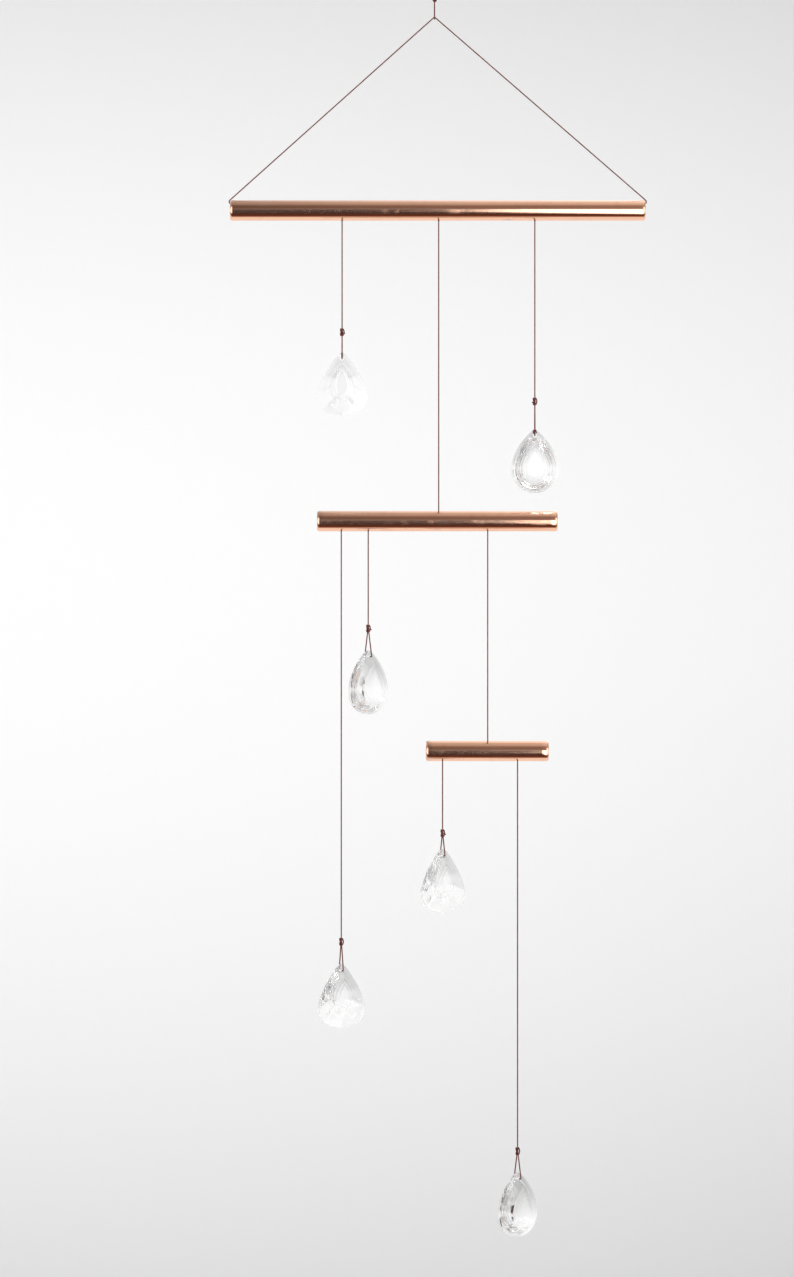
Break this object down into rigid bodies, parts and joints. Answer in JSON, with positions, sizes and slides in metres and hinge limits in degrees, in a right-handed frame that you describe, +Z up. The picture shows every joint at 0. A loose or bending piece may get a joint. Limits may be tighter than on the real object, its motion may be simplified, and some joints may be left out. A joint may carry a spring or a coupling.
{
  "type": "crystal mobile",
  "caption": "Hanging mobile: copper tubes in tiers on waxed cord, with faceted pear-shaped crystal drops that swing, turn and rock below them.",
  "frame": {"origin": "point at the top of the hanging eye where it bears on the hook", "axes": "+Z up, +X to the right along the tubes as seen in the picture, -Y towards the viewer"},
  "size_m": [0.2592, 0.021, 0.8012],
  "materials": {
    "copper": "polished copper",
    "crystal": "clear, cut and polished",
    "cord": "dark brown waxed cord"
  },
  "bodies": {
    "hanging_eye": {"hanging_eye": "cord"},
    "hanger_knot": {"hanger_knot": "cord"},
    "top_bar": {"hanger_strand": "cord", "bridle_cord": "cord", "bridle_knot": "cord", "top_tube": "copper", "stopper_1": "cord", "stopper_2": "cord", "middle_upper_stopper": "cord"},
    "middle_cord": {"middle_suspension_cord": "cord"},
    "middle_knot": {"middle_lower_stopper": "cord"},
    "middle_bar": {"middle_tube": "copper", "stopper_3": "cord", "stopper_4": "cord", "bottom_upper_stopper": "cord"},
    "bottom_cord": {"bottom_suspension_cord": "cord"},
    "bottom_knot": {"bottom_lower_stopper": "cord"},
    "bottom_bar": {"bottom_tube": "copper", "stopper_5": "cord", "stopper_6": "cord"},
    "cord_1": {"drop_cord_1": "cord"},
    "loop_1": {"tie_knot_1": "cord", "crystal_loop_1": "cord"},
    "crystal_1": {"crystal_1": "crystal"},
    "cord_2": {"drop_cord_2": "cord"},
    "loop_2": {"tie_knot_2": "cord", "crystal_loop_2": "cord"},
    "crystal_2": {"crystal_2": "crystal"},
    "cord_3": {"drop_cord_3": "cord"},
    "loop_3": {"tie_knot_3": "cord", "crystal_loop_3": "cord"},
    "crystal_3": {"crystal_3": "crystal"},
    "cord_4": {"drop_cord_4": "cord"},
    "loop_4": {"tie_knot_4": "cord", "crystal_loop_4": "cord"},
    "crystal_4": {"crystal_4": "crystal"},
    "cord_5": {"drop_cord_5": "cord"},
    "loop_5": {"tie_knot_5": "cord", "crystal_loop_5": "cord"},
    "crystal_5": {"crystal_5": "crystal"},
    "cord_6": {"drop_cord_6": "cord"},
    "loop_6": {"tie_knot_6": "cord", "crystal_loop_6": "cord"},
    "crystal_6": {"crystal_6": "crystal"}
  },
  "joints": [
    {"name": "hanger_swing", "type": "hinge", "parent": "hanging_eye", "child": "hanger_knot", "pos_m": [0, 0, -0.0328], "axis": [1, 0, 0], "range_deg": [-20, 20]},
    {"name": "hanger_turn", "type": "hinge", "parent": "hanger_knot", "child": "top_bar", "pos_m": [0, 0, -0.0446], "axis": [0, 0, 1], "continuous": true},
    {"name": "middle_swing", "type": "hinge", "parent": "top_bar", "child": "middle_cord", "pos_m": [0.0026, 0, -0.1705], "axis": [1, 0, 0], "range_deg": [-20, 20]},
    {"name": "middle_turn", "type": "hinge", "parent": "middle_cord", "child": "middle_knot", "pos_m": [0.0026, 0, -0.3513], "axis": [0, 0, 1], "continuous": true},
    {"name": "middle_teeter", "type": "hinge", "parent": "middle_knot", "child": "middle_bar", "pos_m": [0.0026, 0, -0.3513], "axis": [0, 1, 0], "range_deg": [-8, 8]},
    {"name": "bottom_swing", "type": "hinge", "parent": "middle_bar", "child": "bottom_cord", "pos_m": [0.033, 0, -0.3631], "axis": [1, 0, 0], "range_deg": [-20, 20]},
    {"name": "bottom_turn", "type": "hinge", "parent": "bottom_cord", "child": "bottom_knot", "pos_m": [0.033, 0, -0.4938], "axis": [0, 0, 1], "continuous": true},
    {"name": "bottom_teeter", "type": "hinge", "parent": "bottom_knot", "child": "bottom_bar", "pos_m": [0.033, 0, -0.4938], "axis": [0, 1, 0], "range_deg": [-8, 8]},
    {"name": "pendant_1_swing", "type": "hinge", "parent": "top_bar", "child": "cord_1", "pos_m": [-0.0573, 0, -0.1705], "axis": [1, 0, 0], "range_deg": [-20, 20]},
    {"name": "pendant_1_turn", "type": "hinge", "parent": "cord_1", "child": "loop_1", "pos_m": [-0.0573, 0, -0.2564], "axis": [0, 0, 1], "continuous": true},
    {"name": "crystal_1_rock", "type": "hinge", "parent": "loop_1", "child": "crystal_1", "pos_m": [-0.0573, 0, -0.2564], "axis": [0, 1, 0], "range_deg": [-15, 15]},
    {"name": "pendant_2_swing", "type": "hinge", "parent": "top_bar", "child": "cord_2", "pos_m": [0.0622, 0, -0.1705], "axis": [1, 0, 0], "range_deg": [-20, 20]},
    {"name": "pendant_2_turn", "type": "hinge", "parent": "cord_2", "child": "loop_2", "pos_m": [0.0622, 0, -0.304], "axis": [0, 0, 1], "continuous": true},
    {"name": "crystal_2_rock", "type": "hinge", "parent": "loop_2", "child": "crystal_2", "pos_m": [0.0622, 0, -0.304], "axis": [0, 1, 0], "range_deg": [-15, 15]},
    {"name": "pendant_3_swing", "type": "hinge", "parent": "middle_bar", "child": "cord_3", "pos_m": [-0.0411, 0, -0.3631], "axis": [1, 0, 0], "range_deg": [-20, 20]},
    {"name": "pendant_3_turn", "type": "hinge", "parent": "cord_3", "child": "loop_3", "pos_m": [-0.0411, 0, -0.4412], "axis": [0, 0, 1], "continuous": true},
    {"name": "crystal_3_rock", "type": "hinge", "parent": "loop_3", "child": "crystal_3", "pos_m": [-0.0411, 0, -0.4412], "axis": [-0.6428, 0.766, 0], "range_deg": [-15, 15]},
    {"name": "pendant_4_swing", "type": "hinge", "parent": "middle_bar", "child": "cord_4", "pos_m": [-0.0578, 0, -0.3631], "axis": [1, 0, 0], "range_deg": [-20, 20]},
    {"name": "pendant_4_turn", "type": "hinge", "parent": "cord_4", "child": "loop_4", "pos_m": [-0.0578, 0, -0.6358], "axis": [0, 0, 1], "continuous": true},
    {"name": "crystal_4_rock", "type": "hinge", "parent": "loop_4", "child": "crystal_4", "pos_m": [-0.0578, 0, -0.6358], "axis": [-0.4695, 0.8829, 0], "range_deg": [-15, 15]},
    {"name": "pendant_5_swing", "type": "hinge", "parent": "bottom_bar", "child": "cord_5", "pos_m": [0.005, 0, -0.5056], "axis": [1, 0, 0], "range_deg": [-20, 20]},
    {"name": "pendant_5_turn", "type": "hinge", "parent": "cord_5", "child": "loop_5", "pos_m": [0.005, 0, -0.5646], "axis": [0, 0, 1], "continuous": true},
    {"name": "crystal_5_rock", "type": "hinge", "parent": "loop_5", "child": "crystal_5", "pos_m": [0.005, 0, -0.5646], "axis": [-0.5446, 0.8387, 0], "range_deg": [-15, 15]},
    {"name": "pendant_6_swing", "type": "hinge", "parent": "bottom_bar", "child": "cord_6", "pos_m": [0.0515, 0, -0.5056], "axis": [1, 0, 0], "range_deg": [-20, 20]},
    {"name": "pendant_6_turn", "type": "hinge", "parent": "cord_6", "child": "loop_6", "pos_m": [0.0515, 0, -0.7648], "axis": [0, 0, 1], "continuous": true},
    {"name": "crystal_6_rock", "type": "hinge", "parent": "loop_6", "child": "crystal_6", "pos_m": [0.0515, 0, -0.7648], "axis": [-0.6157, 0.788, 0], "range_deg": [-15, 15]}
  ]
}
